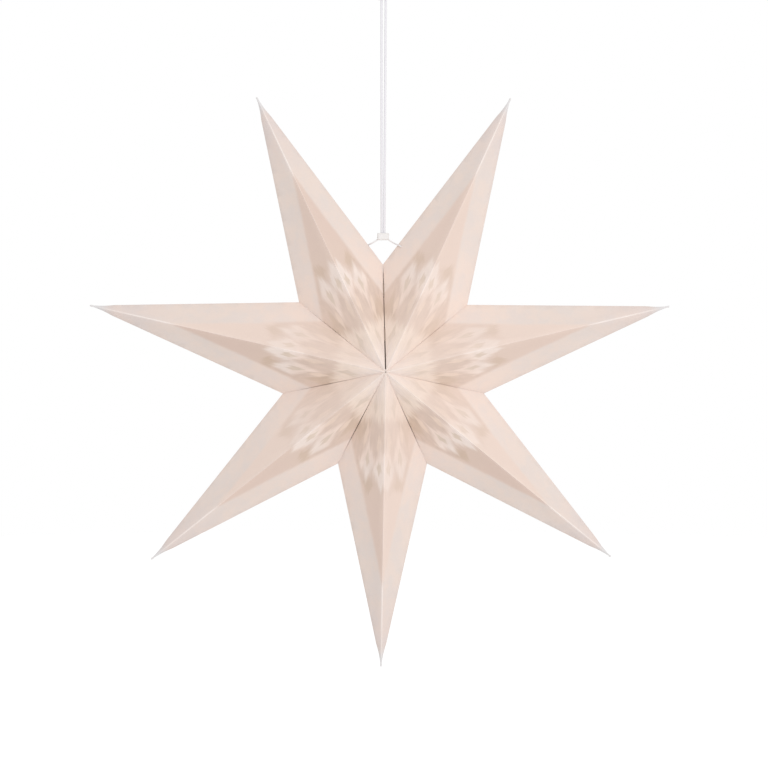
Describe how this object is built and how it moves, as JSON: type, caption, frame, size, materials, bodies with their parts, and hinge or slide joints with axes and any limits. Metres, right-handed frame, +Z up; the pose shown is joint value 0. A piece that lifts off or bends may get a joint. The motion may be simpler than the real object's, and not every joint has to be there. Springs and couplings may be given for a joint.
{
  "type": "paper star lantern",
  "caption": "Pointed paper star folded from printed sheets, glued edge to edge, hung by a doubled cord from a wire bail.",
  "frame": {"origin": "middle of the star, halfway between the front centre and the back centre where all the sheets meet", "axes": "+Z up along the hanging cord, +Y from the front centre to the back centre, +X to the right as the front is seen"},
  "size_m": [0.585, 0.1496, 0.7237],
  "materials": {
    "printed_paper": "matt paper printed in soft warm tones",
    "foam_pad": "white foam with adhesive faces",
    "coated_wire": "thin steel wire with a white coat",
    "clip_plastic": "moulded white plastic",
    "white_cord": "soft braided white cord"
  },
  "bodies": {
    "root": {"point_1": "printed_paper", "point_2": "printed_paper", "point_3": "printed_paper", "point_4": "printed_paper", "point_5": "printed_paper", "point_6": "printed_paper", "point_7": "printed_paper", "closure_pad_1": "foam_pad", "closure_pad_2": "foam_pad", "closure_pad_3": "foam_pad", "closure_pad_4": "foam_pad", "hanger_wire": "coated_wire", "cord_clip": "clip_plastic", "hanging_cord": "white_cord", "cord_knot": "white_cord"}
  },
  "joints": []
}
